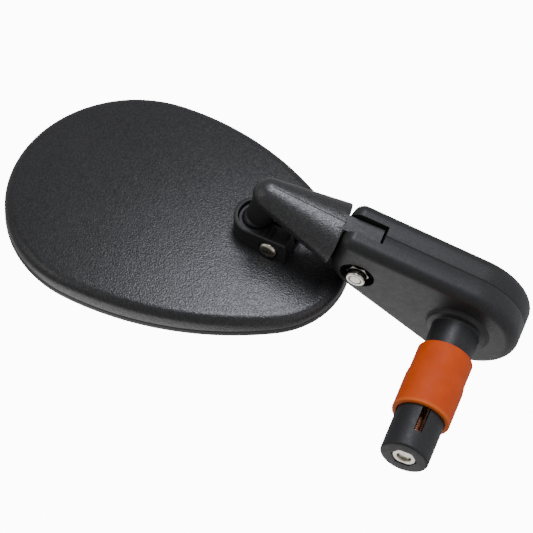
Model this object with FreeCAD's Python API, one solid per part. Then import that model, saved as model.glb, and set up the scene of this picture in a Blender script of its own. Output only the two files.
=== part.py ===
"""Bar-end bicycle mirror: egg-shaped head on a ball joint, folding link arm, base arm, expanding plug.

Millimetres. +X runs into the handlebar along the plug, +Z up the base arm, +Y forwards (the glass
looks back along -Y). The pieces are drawn with x = 0 on the base arm's flat face, where the end of
the bar rests, and are moved to the row's origin, the middle of the sleeve, when they are written.
"""
import FreeCAD, Part
import math
import os

from FreeCAD import Vector, Matrix

# ---- driving dimensions ----
BAR_SEAT_TO_ORIGIN = 30.0      # bar seat face to the middle of the sleeve's gripping length
PARTING_X = -9.25              # plane where the two halves of the base arm meet
ARM_BACK_X = 2 * PARTING_X     # outer face of the base arm

PLUG_END_R = 20.6              # base arm's big end, round the plug axis
HINGE_END_R = 13.2             # base arm's small end
HINGE_END_YZ = (4.3, 35.9)     # its centre
HINGE_CORNER_R = 4.0           # squarer corner at the front of that end
HINGE_CORNER_YZ = (13.4, 45.0)
ARM_EDGE_R = 4.0               # rounding of the arm's long edges
ARM_WALL = 3.0                 # wall of the two hollow halves
PIVOT_Y, PIVOT_Z = 2.0, 38.3   # fold axis, along X

SLOT_WIDTH = 7.0               # fork slot for the link arm's tongue
SLOT_FLOOR_Z = 36.4            # end wall that stops the tongue
TONGUE_THICK = 6.0
TONGUE_R = 8.0
TONGUE_END_Z = 37.1
TONGUE_TOP_Y = 16.0            # the tongue's front edge, which runs on up the arm as its ridge
HINGE_WASHER_THICK = 0.5

SHOULDER_Z = 49.6              # where the link arm steps in to its tongue
RIDGE_END_YZ = (12.0, 60.0)    # where the tongue's front edge dies into the round of the arm
SHOULDER_HALF = (11.75, 8.8)   # half width along X, half depth along Y
SHOULDER_Y = 5.6
ELBOW = Vector(-10.75, 5.5, 76.1)
ELBOW_R = 5.75
BALL = Vector(-10.75, -13.6, 74.3)
BALL_R = 5.6
STUD_R = 4.8                   # smooth round post between the elbow and the ball
STUD_SKIRT_R = 4.95            # the post widens a little towards the ball
STUD_NECK_R = 3.6
STUD_RIM = 4.6                 # height of the post's lower rim above the ball's centre
STUD_TOP = 16.8
SPIGOT_R = 3.0
RUNNING = 0.05                 # radial clearance where one piece turns in another
CUP_R = 6.45                   # outside of the liner between ball and socket

HEAD_AXIS = Vector(0.131, 0.358, -0.925)     # egg's long axis, towards its small end
HEAD_NORMAL = Vector(-0.074, 0.934, 0.351)   # straight out of the shell's back
EGG_BIG_R, EGG_SMALL_R, EGG_SPAN, EGG_SIDE_R = 42.7, 28.4, 50.9, 110.0
EGG_X, EGG_Y = -45.0, -5.7     # big circle's centre, from the ball
CROWN_X = -30.0                # highest point of the back
CROWN_TOP = -3.0
CROWN_R = 340.0
HEAD_EDGE_R = 3.6
SHELL_WALL = 2.2
SEAM_Z = -12.6                 # shell meets bezel
FRONT_Z = -15.5                # bezel's front
GLASS_R = 1200.0               # radius of the convex mirror
GLASS_THICK = 2.0
GLASS_FRONT = -15.3
PAD_THICK = 1.5

COLLAR_R = 8.0
COLLAR_TOP = 3.7
SOCKET_R = 6.5
SOCKET_FLOOR = -6.6
EAR_END = 14.5
EAR_SLOT = 2.2
HEAD_RECESS = 1.8              # how far the clamp screw's washer sits into the ear
SCREW_HEAD_R = 3.2
CLAMP_X, CLAMP_Z = 8.1, -1.7   # clamp screw's axis, along the head's Y

SLEEVE_X0, SLEEVE_X1 = 11.6, 36.9
SLEEVE_R, SLEEVE_FLARE_R = 9.75, 10.2
POST_R = 8.4
POST_END = 19.5
CONE_X0, CONE_X1 = 20.0, 31.0
CONE_R0, CONE_R1 = 7.3, 4.0
PLUG_R = 8.5
PLUG_X0, PLUG_X1 = 24.0, 53.4
PLUG_DRAW = 3.2                # how far the bolt draws the plug end in
PLUG_SLOT_WIDTH = 2.9
PLUG_SLOT_END = 46.5
PLUG_SLOT_TURN = 2.0          # degrees from +Y to the first slot

NUT_COLLAR_R = 3.45            # round collar of the hinge nut, above its hexagon
M3_R, M4_R, M5_R = 1.5, 2.0, 2.5

parts = {}


# ---- helpers ----
def cyl_x(radius, x0, x1, y=0.0, z=0.0):
    return Part.makeCylinder(radius, x1 - x0, Vector(x0, y, z), Vector(1, 0, 0))


def box(low, high):
    size = [b - a for a, b in zip(low, high)]
    return Part.makeBox(*size, Vector(*low))


def hex_x(across_flats, x0, x1, y=0.0, z=0.0, turn=0.0):
    """Hexagonal prism along X."""
    r = across_flats / math.sqrt(3)
    ring = []
    for k in range(7):
        a = math.radians(60 * k + turn)
        ring.append(Vector(x0, y + r * math.cos(a), z + r * math.sin(a)))
    return Part.Face(Part.makePolygon(ring)).extrude(Vector(x1 - x0, 0, 0))


def revolve_profile(points, axis=Vector(0, 0, 1)):
    """Turn a closed outline of (radius, height) points about Z, then stand it on the given axis."""
    ring = [Vector(r, 0, h) for r, h in points]
    ring.append(ring[0])
    solid = Part.Face(Part.makePolygon(ring)).revolve(Vector(0, 0, 0), Vector(0, 0, 1), 360)
    solid.Placement = FreeCAD.Placement(Vector(0, 0, 0), FreeCAD.Rotation(Vector(0, 0, 1), axis))
    return solid


def hull_face(circles, x):
    """Face in the plane x: the outline pulled tight round circles (y, z, radius), anticlockwise."""
    count = len(circles)
    normals = []
    for k in range(count):
        ya, za, ra = circles[k]
        yb, zb, rb = circles[(k + 1) % count]
        along = math.atan2(zb - za, yb - ya)
        normals.append(along - math.acos((ra - rb) / math.hypot(yb - ya, zb - za)))

    def on(circle, angle):
        y, z, radius = circle
        return Vector(x, y + radius * math.cos(angle), z + radius * math.sin(angle))

    edges = []
    for k in range(count):
        start, end = normals[k - 1], normals[k]
        sweep = (end - start) % (2 * math.pi)
        circle, following = circles[k], circles[(k + 1) % count]
        arc = Part.Arc(on(circle, start), on(circle, start + sweep / 2), on(circle, end))
        edges.append(arc.toShape())
        edges.append(Part.LineSegment(on(circle, end), on(following, end)).toShape())
    return Part.Face(Part.Wire(edges))


def fillet_where(shape, radius, wanted):
    edges = [e for e in shape.Edges if wanted(e)]
    return shape.makeFillet(radius, edges)


def flat_at_x(x):
    def test(edge):
        bb = edge.BoundBox
        return abs(bb.XMin - x) < 1e-4 and abs(bb.XMax - x) < 1e-4
    return test


def flat_at_z(z):
    def test(edge):
        bb = edge.BoundBox
        return abs(bb.ZMin - z) < 1e-4 and abs(bb.ZMax - z) < 1e-4
    return test


def to_head(shape):
    """From the head's own frame (x along the egg, z out of its back, origin at the ball) to the arm's."""
    n = Vector(HEAD_NORMAL).normalize()
    u = HEAD_AXIS - n * HEAD_AXIS.dot(n)
    u.normalize()
    v = n.cross(u)
    turn = Matrix(u.x, v.x, n.x, BALL.x, u.y, v.y, n.y, BALL.y, u.z, v.z, n.z, BALL.z, 0, 0, 0, 1)
    moved = shape.copy()
    moved.transformShape(turn)
    return moved


def to_stud(shape):
    """From the stud's own frame (z from the ball to the elbow) to the arm's."""
    moved = shape.copy()
    turn = FreeCAD.Rotation(Vector(0, 0, 1), ELBOW - BALL)
    moved.Placement = FreeCAD.Placement(BALL, turn).multiply(moved.Placement)
    return moved


# ---- mirror head ----
def egg_face(inset, z):
    """The head's outline: big and small end circles joined by long side arcs, drawn in by inset."""
    r1, r2, r3 = EGG_BIG_R - inset, EGG_SMALL_R - inset, EGG_SIDE_R - inset
    near, far = r3 - r1, r3 - r2
    cx = (near ** 2 - far ** 2 + EGG_SPAN ** 2) / (2 * EGG_SPAN)
    cy = math.sqrt(near ** 2 - cx ** 2)

    def at(x, y):
        return Vector(EGG_X + x, EGG_Y + y, z)

    def side_point(angle, sign):
        return at(cx + r3 * math.cos(angle), sign * (r3 * math.sin(angle) - cy))

    a1 = math.atan2(cy, -cx)
    a2 = math.atan2(cy, EGG_SPAN - cx)
    mid = (a1 + a2) / 2
    edges = [
        Part.Arc(side_point(a1, 1), at(-r1, 0), side_point(a1, -1)).toShape(),
        Part.Arc(side_point(a1, -1), side_point(mid, -1), side_point(a2, -1)).toShape(),
        Part.Arc(side_point(a2, -1), at(EGG_SPAN + r2, 0), side_point(a2, 1)).toShape(),
        Part.Arc(side_point(a2, 1), side_point(mid, 1), side_point(a1, 1)).toShape(),
    ]
    return Part.Face(Part.Wire(edges))


def egg_prism(inset, z0, z1):
    return egg_face(inset, z0).extrude(Vector(0, 0, z1 - z0))


def crowned_egg(inset, z0, crown, edge_r):
    """Egg-shaped block with a gently domed, round-edged top."""
    block = egg_prism(inset, z0, crown + 5).common(turned_sphere(CROWN_R, crown - CROWN_R, 90))
    return fillet_where(block, edge_r, lambda edge: edge.BoundBox.ZMin > z0 + 0.5)


def turned_sphere(radius, z, turn):
    """Large sphere on the head's middle, its poles and seam kept off the face that is used."""
    ball = Part.makeSphere(radius)
    ball.rotate(Vector(0, 0, 0), Vector(0, 1, 0), turn)
    ball.translate(Vector(CROWN_X, EGG_Y, z))
    return ball


def glass_ball(front):
    return turned_sphere(GLASS_R, front + GLASS_R, -90)


def clamp_block():
    """Split collar round the ball, with two ears for the clamp screw."""
    foot = SOCKET_FLOOR - 2.0
    low = crown_height() - 1.8
    block = Part.makeCylinder(COLLAR_R, COLLAR_TOP - low, Vector(0, 0, low))
    block = block.fuse(box((0, -COLLAR_R, low), (EAR_END, COLLAR_R, COLLAR_TOP))).removeSplitter()
    block = fillet_where(block, 0.5, flat_at_z(COLLAR_TOP))
    cup = Part.makeCylinder(COLLAR_R - 0.02, low + 1.0 - foot, Vector(0, 0, foot))
    return block.fuse(cup)


def crown_height():
    """Height of the shell's back where the collar stands."""
    return CROWN_TOP - (CROWN_X ** 2 + EGG_Y ** 2) / (2 * CROWN_R)


def shell_ribs():
    """Stiffening ribs inside the shell, which the foam pad rests on."""
    ribs = box((EGG_X - 60, EGG_Y - 0.8, -14), (50, EGG_Y + 0.8, 0))
    for x in (-62.0, -38.0, -14.0):
        ribs = ribs.fuse(box((x - 0.8, -70, -14), (x + 0.8, 70, 0)))
    ribs = ribs.fuse(Part.makeCylinder(9.6, 14, Vector(0, 0, -14)))
    ribs = ribs.cut(Part.makeCylinder(8.0, 14, Vector(0, 0, -14)))
    seat = glass_ball(GLASS_FRONT + GLASS_THICK + PAD_THICK + 0.02)
    inside = crowned_egg(SHELL_WALL - 0.3, SEAM_Z - 3, CROWN_TOP - SHELL_WALL + 0.3, 2.0)
    ribs = ribs.common(inside).common(seat)
    return ribs.cut(egg_prism(0, SEAM_Z - 5, SEAM_Z + 2.2).cut(egg_prism(4.5, SEAM_Z - 5, SEAM_Z + 2.2)))


def make_shell():
    outer = crowned_egg(0.0, SEAM_Z, CROWN_TOP, HEAD_EDGE_R)
    inner = crowned_egg(SHELL_WALL, SEAM_Z - 1, CROWN_TOP - SHELL_WALL, 2.2)
    shell = outer.cut(inner)
    shell = shell.cut(egg_prism(1.2, SEAM_Z - 1, SEAM_Z + 2.1))
    shell = shell.fuse(shell_ribs())
    shell = shell.fuse(clamp_block())
    shell = shell.cut(Part.makeCylinder(SOCKET_R, 30, Vector(0, 0, SOCKET_FLOOR)))
    slot_floor = crown_height() + 0.3
    shell = shell.cut(box((0, -EAR_SLOT / 2, slot_floor), (EAR_END + 1, EAR_SLOT / 2, COLLAR_TOP + 1)))
    across = Vector(0, 1, 0)
    shell = shell.cut(Part.makeCylinder(M3_R + 0.1, 40, Vector(CLAMP_X, -20, CLAMP_Z), across))
    recess = Part.makeCylinder(3.5, 10, Vector(CLAMP_X, -COLLAR_R + HEAD_RECESS - 10, CLAMP_Z), across)
    shell = shell.cut(recess)
    nut_pocket = hex_x(5.6, 0, 10)
    nut_pocket.Placement = FreeCAD.Placement(
        Vector(CLAMP_X, COLLAR_R - 2.4, CLAMP_Z), FreeCAD.Rotation(Vector(1, 0, 0), across))
    return shell.cut(nut_pocket).removeSplitter()


def make_bezel():
    ring = egg_prism(0.0, FRONT_Z, SEAM_Z)
    ring = fillet_where(ring, 1.2, flat_at_z(FRONT_Z))
    ring = ring.fuse(egg_prism(1.3, SEAM_Z - 0.2, SEAM_Z + 2.0))
    pocket = egg_prism(2.5, FRONT_Z - 1, SEAM_Z + 5).common(glass_ball(GLASS_FRONT - 0.03))
    ring = ring.cut(pocket)
    return ring.cut(egg_prism(3.4, FRONT_Z - 1, SEAM_Z + 5)).removeSplitter()


def make_glass():
    blank = egg_prism(2.6, FRONT_Z - 1, SEAM_Z + 5)
    return blank.common(glass_ball(GLASS_FRONT)).cut(glass_ball(GLASS_FRONT + GLASS_THICK))


def make_pad():
    blank = egg_prism(6.0, FRONT_Z - 1, SEAM_Z + 5)
    back = glass_ball(GLASS_FRONT + GLASS_THICK + PAD_THICK)
    return blank.common(glass_ball(GLASS_FRONT + GLASS_THICK)).cut(back)


def make_clamp_screw():
    """Pan head cross-recess screw; it lies along the head's Y."""
    head = Part.makeCylinder(SCREW_HEAD_R, 2.2, Vector(0, 0, 0))
    head = fillet_where(head, 1.0, flat_at_z(2.2))
    cross = box((-1.6, -0.4, 1.0), (1.6, 0.4, 2.4)).fuse(box((-0.4, -1.6, 1.0), (0.4, 1.6, 2.4)))
    screw = head.cut(cross).fuse(Part.makeCylinder(M3_R, 15.0, Vector(0, 0, -15.0)))
    turn = FreeCAD.Rotation(Vector(0, 0, 1), Vector(0, -1, 0))
    screw.Placement = FreeCAD.Placement(Vector(CLAMP_X, -COLLAR_R + HEAD_RECESS - 0.5, CLAMP_Z), turn)
    return screw


def make_clamp_washer():
    washer = Part.makeCylinder(3.1, 0.5, Vector(0, 0, 0)).cut(Part.makeCylinder(M3_R + 0.1, 0.5))
    turn = FreeCAD.Rotation(Vector(0, 0, 1), Vector(0, -1, 0))
    washer.Placement = FreeCAD.Placement(Vector(CLAMP_X, -COLLAR_R + HEAD_RECESS, CLAMP_Z), turn)
    return washer


def make_clamp_nut():
    nut = hex_x(5.5, 0, 2.3).cut(cyl_x(M3_R + 0.01, -1, 3))
    turn = FreeCAD.Rotation(Vector(1, 0, 0), Vector(0, 1, 0))
    nut.Placement = FreeCAD.Placement(Vector(CLAMP_X, COLLAR_R - 2.35, CLAMP_Z), turn)
    return nut


def make_ball_cup():
    """Split liner between the ball and the socket: a band of a hollow sphere."""
    low, high = -4.4, 2.2
    band = Part.makeSphere(CUP_R).cut(Part.makeSphere(BALL_R + RUNNING))
    band = band.common(box((-9, -9, low), (9, 9, high)))
    return band.cut(box((0, -0.8, low - 1), (9, 0.8, high + 1)))


# ---- ball stud and link arm ----
def make_ball_stud():
    reach = (ELBOW - BALL).Length
    ball = Part.makeSphere(BALL_R)
    neck = Part.makeCylinder(STUD_NECK_R, STUD_RIM, Vector(0, 0, 0.5))
    post = Part.makeCylinder(STUD_R, STUD_TOP - RUNNING - STUD_RIM, Vector(0, 0, STUD_RIM))
    skirt = Part.makeCone(STUD_SKIRT_R, STUD_R, 7.0, Vector(0, 0, STUD_RIM))
    post = post.fuse(skirt).removeSplitter()
    post = fillet_where(post, 0.8, flat_at_z(STUD_RIM))
    spigot = Part.makeCylinder(SPIGOT_R, reach + 2.7 - STUD_TOP + 1, Vector(0, 0, STUD_TOP - 1))
    return to_stud(ball.fuse(neck).fuse(post).fuse(spigot))


def make_link_arm():
    reach = (ELBOW - BALL).Length
    shoulder = Vector(PARTING_X, SHOULDER_Y, SHOULDER_Z)
    foot = Part.Wire(Part.Ellipse(shoulder, *SHOULDER_HALF).toShape())
    tip = Part.Wire(Part.Ellipse(ELBOW, ELBOW_R - 0.1, ELBOW_R - 0.11).toShape())
    arm = Part.makeLoft([foot, tip], True, True)
    arm = arm.fuse(Part.makeSphere(ELBOW_R, ELBOW))
    x0, x1 = PARTING_X - TONGUE_THICK / 2, PARTING_X + TONGUE_THICK / 2
    tongue = cyl_x(TONGUE_R, x0, x1, PIVOT_Y, PIVOT_Z)
    tongue = tongue.fuse(box((x0, PIVOT_Y - TONGUE_R, PIVOT_Z), (x1, PIVOT_Y + TONGUE_R, SHOULDER_Z + 4)))
    side = [
        (PIVOT_Y, TONGUE_END_Z), (TONGUE_TOP_Y, TONGUE_END_Z), (RIDGE_END_YZ[0] + 2.3, SHOULDER_Z + 0.4),
        RIDGE_END_YZ, (PIVOT_Y, RIDGE_END_YZ[1]), (PIVOT_Y, TONGUE_END_Z),
    ]
    ridge = Part.Face(Part.makePolygon([Vector(x0, y, z) for y, z in side]))
    tongue = tongue.fuse(ridge.extrude(Vector(TONGUE_THICK, 0, 0)))
    arm = arm.fuse(tongue)
    arm = arm.cut(to_stud(Part.makeCylinder(STUD_R + RUNNING, STUD_TOP + 6, Vector(0, 0, -6))))
    arm = arm.cut(to_stud(Part.makeCylinder(SPIGOT_R + RUNNING, reach + 2.9)))
    return arm.cut(cyl_x(M4_R + RUNNING, x0 - 1, x1 + 1, PIVOT_Y, PIVOT_Z))


# ---- base arm ----
def hinge_slot():
    """Room for the tongue: open forwards, upwards and, further round, backwards for the fold."""
    x0, x1 = PARTING_X - SLOT_WIDTH / 2, PARTING_X + SLOT_WIDTH / 2
    slot = cyl_x(TONGUE_R + 0.5, x0, x1, PIVOT_Y, PIVOT_Z)
    slot = slot.fuse(box((x0, PIVOT_Y, SLOT_FLOOR_Z), (x1, 40, 60)))
    return slot.fuse(box((x0, -40, PIVOT_Z - 5.0), (x1, PIVOT_Y, 60)))


def arm_cavity(x0, x1):
    """Hollow between the two halves, stopping short of the hinge."""
    share = 0.34
    centre = (HINGE_END_YZ[0] * share, HINGE_END_YZ[1] * share)
    radius = PLUG_END_R + (HINGE_END_R - PLUG_END_R) * share
    face = hull_face([(0, 0, PLUG_END_R - ARM_WALL), (*centre, radius - ARM_WALL)], x0)
    hollow = face.extrude(Vector(x1 - x0, 0, 0))
    return hollow.cut(cyl_x(6.5, x0 - 1, x1 + 1))


def arm_half(x_parting, x_face):
    ends = [(0, 0, PLUG_END_R), (*HINGE_CORNER_YZ, HINGE_CORNER_R), (*HINGE_END_YZ, HINGE_END_R)]
    face = hull_face(ends, x_parting)
    half = face.extrude(Vector(x_face - x_parting, 0, 0))
    return fillet_where(half, ARM_EDGE_R, flat_at_x(x_face))


def make_base_arm_inner():
    half = arm_half(PARTING_X, 0.0)
    half = half.cut(arm_cavity(PARTING_X, -ARM_WALL))
    collar = cyl_x(10.6, -0.5, 1.2)
    collar = fillet_where(collar, 0.8, flat_at_x(1.2))
    post = cyl_x(POST_R, -0.5, POST_END)
    cone = Part.makeCone(CONE_R0, CONE_R1, CONE_X1 - CONE_X0, Vector(CONE_X0, 0, 0), Vector(1, 0, 0))
    step = cyl_x(CONE_R0, POST_END - 0.1, CONE_X0)
    half = half.fuse([collar, post, step, cone])
    half = half.cut(hinge_slot())
    half = half.cut(cyl_x(M5_R + 0.15, PARTING_X - 1, CONE_X1 + 1))
    half = half.cut(cyl_x(M4_R + 0.1, PARTING_X - 1, 1, PIVOT_Y, PIVOT_Z))
    recess = cyl_x(6.0, -3.9, 2, PIVOT_Y, PIVOT_Z)
    return half.cut(recess).removeSplitter()


def make_base_arm_outer():
    half = arm_half(PARTING_X, ARM_BACK_X)
    half = half.cut(arm_cavity(ARM_BACK_X + ARM_WALL, PARTING_X))
    half = half.fuse(cyl_x(6.5, ARM_BACK_X + 1, PARTING_X))
    half = half.cut(hinge_slot())
    half = half.cut(cyl_x(M5_R + 0.15, ARM_BACK_X - 1, PARTING_X + 1))
    half = half.cut(cyl_x(5.2, ARM_BACK_X - 1, ARM_BACK_X + 6.3))
    half = half.cut(cyl_x(M4_R + 0.1, ARM_BACK_X - 1, PARTING_X + 1, PIVOT_Y, PIVOT_Z))
    return half.cut(cyl_x(4.4, ARM_BACK_X - 1, ARM_BACK_X + 2.7, PIVOT_Y, PIVOT_Z)).removeSplitter()


# ---- hinge hardware ----
def make_pivot_bolt():
    """Button-head bolt from the outer face, its end flush with the nut's top."""
    seat = ARM_BACK_X + 2.7
    head = cyl_x(3.9, seat - 2.3, seat, PIVOT_Y, PIVOT_Z)
    head = fillet_where(head, 1.6, flat_at_x(seat - 2.3))
    head = head.cut(hex_x(2.5, seat - 2.4, seat - 0.8, PIVOT_Y, PIVOT_Z))
    shank = cyl_x(M4_R, seat - 0.5, 1.9, PIVOT_Y, PIVOT_Z)
    return head.fuse(shank)


def make_pivot_nut():
    """Self-locking nut: hexagon with a domed collar that holds the nylon ring."""
    x0, x1 = -3.9, 2.0
    chamfer = Part.makeCone(6.2, 3.4, 2.8, Vector(-2.3, PIVOT_Y, PIVOT_Z), Vector(1, 0, 0))
    chamfer = chamfer.fuse(cyl_x(6.2, x0, -2.3, PIVOT_Y, PIVOT_Z))
    body = hex_x(7.0, x0, -1.0, PIVOT_Y, PIVOT_Z, 12).common(chamfer)
    collar = cyl_x(NUT_COLLAR_R, -1.8, x1, PIVOT_Y, PIVOT_Z)
    collar = fillet_where(collar, 0.7, flat_at_x(x1))
    nut = body.fuse(collar)
    nut = nut.cut(cyl_x(M4_R + 0.01, x0 - 1, x1 + 1, PIVOT_Y, PIVOT_Z))
    return nut.cut(cyl_x(2.6, 0.2, x1 + 1, PIVOT_Y, PIVOT_Z))


def make_nut_insert():
    ring = cyl_x(2.6, 0.2, 1.4, PIVOT_Y, PIVOT_Z)
    return ring.cut(cyl_x(M4_R + 0.01, -1, 2, PIVOT_Y, PIVOT_Z))


def make_hinge_washers():
    washers = []
    for side in (-1, 1):
        near = PARTING_X + side * TONGUE_THICK / 2
        far = near + side * HINGE_WASHER_THICK
        ring = cyl_x(7.0, min(near, far), max(near, far), PIVOT_Y, PIVOT_Z)
        washers.append(ring.cut(cyl_x(M4_R + 0.1, near - 2, near + 2, PIVOT_Y, PIVOT_Z)))
    return Part.makeCompound(washers)


# ---- expanding plug ----
def make_sleeve():
    r0, r1, lip = SLEEVE_R, SLEEVE_FLARE_R, 0.6
    bore, slide = POST_R + 0.02, PLUG_R + 0.06
    x0, x1, step = SLEEVE_X0, SLEEVE_X1, PLUG_X0 - PLUG_DRAW - 0.6
    outline = [
        (bore, x0), (r0 - lip, x0), (r0 - 0.2, x0 + 0.2), (r0, x0 + lip), (r0, x0 + 8.4),
        (r0 + 0.12, x0 + 9.4), (r1 - 0.1, x0 + 11.0), (r1, x0 + 12.0), (r1, x1 - lip),
        (r1 - 0.2, x1 - 0.2), (r1 - lip, x1), (slide, x1), (slide, step), (bore, step),
    ]
    return revolve_profile(outline, Vector(1, 0, 0))


def make_plug_end():
    """Slotted end piece; the bolt draws its mouth over the post's cone, which spreads it."""
    body = cyl_x(PLUG_R, PLUG_X0, PLUG_X1)
    body = body.makeChamfer(0.9, [e for e in body.Edges if flat_at_x(PLUG_X1)(e)])
    slope = (CONE_R0 - CONE_R1) / (CONE_X1 - CONE_X0)
    mouth = PLUG_X0 - PLUG_DRAW - CONE_X0
    mouth_r = CONE_R0 - slope * mouth + 0.06
    end_r = CONE_R1 + 0.06
    taper = Part.makeCone(mouth_r, end_r, (mouth_r - end_r) / slope, Vector(PLUG_X0, 0, 0), Vector(1, 0, 0))
    body = body.cut(taper)
    body = body.cut(cyl_x(end_r, PLUG_X0 + 2, PLUG_SLOT_END))
    body = body.cut(cyl_x(M5_R + 0.15, PLUG_X0, PLUG_X1 + 1))
    for quarter in range(2):
        w = PLUG_SLOT_WIDTH / 2
        slot = box((PLUG_X0 - 1, -12, -w), (PLUG_SLOT_END, 12, w))
        slot.rotate(Vector(0, 0, 0), Vector(1, 0, 0), PLUG_SLOT_TURN + 90 * quarter)
        body = body.cut(slot)
    return body.cut(hex_x(8.1, PLUG_X1 - 4.3, PLUG_X1 + 1, turn=10))


def make_expander_nut():
    nut = hex_x(8.0, PLUG_X1 - 4.3, PLUG_X1 - 0.3, turn=10)
    chamfer = Part.makeCone(8.0, 3.9, 4.1, Vector(PLUG_X1 - 4.4, 0, 0), Vector(1, 0, 0))
    return nut.common(chamfer).cut(cyl_x(M5_R + 0.02, 40, 60))


def make_expander_bolt():
    seat = ARM_BACK_X + 6.3 - 1.0
    head = cyl_x(4.25, seat - 5.0, seat)
    head = head.makeChamfer(0.4, [e for e in head.Edges if flat_at_x(seat - 5.0)(e)])
    head = head.cut(hex_x(4.0, seat - 5.1, seat - 2.5))
    return head.fuse(cyl_x(M5_R, seat - 0.5, PLUG_X1 - 1.2))


def make_bolt_washer():
    seat = ARM_BACK_X + 6.3
    return cyl_x(5.0, seat - 1.0, seat).cut(cyl_x(M5_R + 0.15, seat - 2, seat + 1))


# ---- assembly ----
parts["mirror_shell"] = to_head(make_shell())
parts["front_bezel"] = to_head(make_bezel())
parts["mirror_glass"] = to_head(make_glass())
parts["foam_pad"] = to_head(make_pad())
parts["clamp_screw"] = to_head(make_clamp_screw())
parts["clamp_washer"] = to_head(make_clamp_washer())
parts["clamp_nut"] = to_head(make_clamp_nut())
parts["ball_cup"] = to_head(make_ball_cup())
parts["ball_stud"] = make_ball_stud()
parts["link_arm"] = make_link_arm()
parts["base_arm_inner"] = make_base_arm_inner()
parts["base_arm_outer"] = make_base_arm_outer()
parts["pivot_bolt"] = make_pivot_bolt()
parts["pivot_nut"] = make_pivot_nut()
parts["pivot_nut_insert"] = make_nut_insert()
parts["hinge_washers"] = make_hinge_washers()
parts["rubber_sleeve"] = make_sleeve()
parts["plug_end"] = make_plug_end()
parts["expander_nut"] = make_expander_nut()
parts["expander_bolt"] = make_expander_bolt()
parts["bolt_washer"] = make_bolt_washer()

os.makedirs("parts", exist_ok=True)
for name, shape in parts.items():
    placed = shape.copy()
    placed.translate(Vector(-BAR_SEAT_TO_ORIGIN, 0, 0))
    placed.exportStep("parts/" + name + ".step")
    print(name, "valid", placed.isValid(), "solids", len(placed.Solids), "volume", round(placed.Volume, 1))
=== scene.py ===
"""Looks of the bar-end bicycle mirror: black moulded plastics, orange rubber and bright fasteners."""
import math

import bmesh
import bpy
from mathutils import Matrix, Vector


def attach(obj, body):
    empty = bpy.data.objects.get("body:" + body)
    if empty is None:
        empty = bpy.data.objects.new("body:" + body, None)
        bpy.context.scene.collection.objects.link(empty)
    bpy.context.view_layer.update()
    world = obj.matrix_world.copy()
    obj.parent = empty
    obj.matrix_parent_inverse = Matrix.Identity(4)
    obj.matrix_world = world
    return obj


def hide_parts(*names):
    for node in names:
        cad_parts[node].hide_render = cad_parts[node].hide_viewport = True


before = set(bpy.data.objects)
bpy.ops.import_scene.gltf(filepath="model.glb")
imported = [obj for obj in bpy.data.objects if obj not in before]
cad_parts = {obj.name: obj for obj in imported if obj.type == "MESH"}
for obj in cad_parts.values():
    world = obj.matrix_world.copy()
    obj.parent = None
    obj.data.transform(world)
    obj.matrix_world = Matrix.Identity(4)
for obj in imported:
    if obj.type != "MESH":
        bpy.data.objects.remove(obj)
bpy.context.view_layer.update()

MM = 0.001

# ---- places, in mm as the object is drawn, with x = 0 on the base arm's flat face ----
ROW = Matrix.Scale(MM, 4) @ Matrix.Translation((-30.0, 0, 0))
ALONG_X = Matrix.Rotation(math.radians(90), 4, "Y")
PLUG = ROW @ ALONG_X
PIVOT_Y, PIVOT_Z = 2.0, 38.3
PIVOT = ROW @ Matrix.Translation((0, PIVOT_Y, PIVOT_Z)) @ ALONG_X
BALL = Vector((-10.75, -13.6, 74.3))
ELBOW = Vector((-10.75, 5.5, 76.1))
ELBOW_R = 5.75
STUD = ROW @ Matrix.Translation(BALL) @ (ELBOW - BALL).to_track_quat("Z", "Y").to_matrix().to_4x4()


def head_place():
    """Frame with its origin in the ball, Z out of the head's back and X towards its small end."""
    back = Vector((-0.074, 0.934, 0.351)).normalized()
    small_end = Vector((0.131, 0.358, -0.925))
    small_end = (small_end - back * small_end.dot(back)).normalized()
    turn = Matrix((small_end, back.cross(small_end), back)).transposed().to_4x4()
    return ROW @ Matrix.Translation(BALL) @ turn


HEAD = head_place()

# ---- sizes shared by several pieces, in mm ----
# Head: two end circles joined by wide side arcs, a domed back, and a slightly convex glass.
EGG_BIG_R, EGG_SMALL_R, EGG_SPAN, EGG_SIDE_R = 42.7, 28.4, 50.9, 110.0
EGG_X, EGG_Y = -45.0, -5.7
CROWN_X, CROWN_TOP, CROWN_R = -30.0, -3.0, 340.0
HEAD_EDGE_R, SHELL_THICK = 3.6, 2.2
SEAM_Z, FRONT_Z = -12.6, -15.5
GLASS_R, GLASS_FRONT, GLASS_THICK = 1200.0, -15.3, 2.0
# Split collar round the ball's socket, with the clamp screw across its ears.
COLLAR_R, COLLAR_TOP, EAR_END = 8.0, 3.7, 14.5
SOCKET_R, SOCKET_FLOOR, SOCKET_TOP = 6.5, -6.6, 6.0
CLAMP_X, CLAMP_Z = 8.1, -1.7
# Ball stud, measured along the post from the ball's centre.
BALL_R, POST_R, POST_SKIRT_R, PEG_R = 5.6, 4.8, 4.85, 3.0
POST_RIM, POST_TOP, PEG_TOP = 4.6, 16.75, 21.8
# Link arm, from its oval shoulder to its round elbow, and the tongue below it.
PARTING_X = -9.25
SHOULDER_Y, SHOULDER_Z = 5.6, 49.6
SHOULDER_HALF_X, SHOULDER_HALF_Y = 11.75, 8.8
TONGUE_R, TONGUE_HALF = 8.0, 3.0
# Base arm: its end circles as (y, z, radius), anticlockwise, and the holes that both halves share.
ARM_ENDS = [(0.0, 0.0, 20.6), (13.4, 45.0, 4.0), (4.3, 35.9, 13.2)]
ARM_EDGE_R = 4.0
ARM_BACK_X = 2 * PARTING_X
SLOT_R, SLOT_HALF, SLOT_FLOOR_Z = 8.5, 3.5, 36.4
HINGE_HOLE_R, PLUG_HOLE_R = 2.1, 2.65
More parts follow.
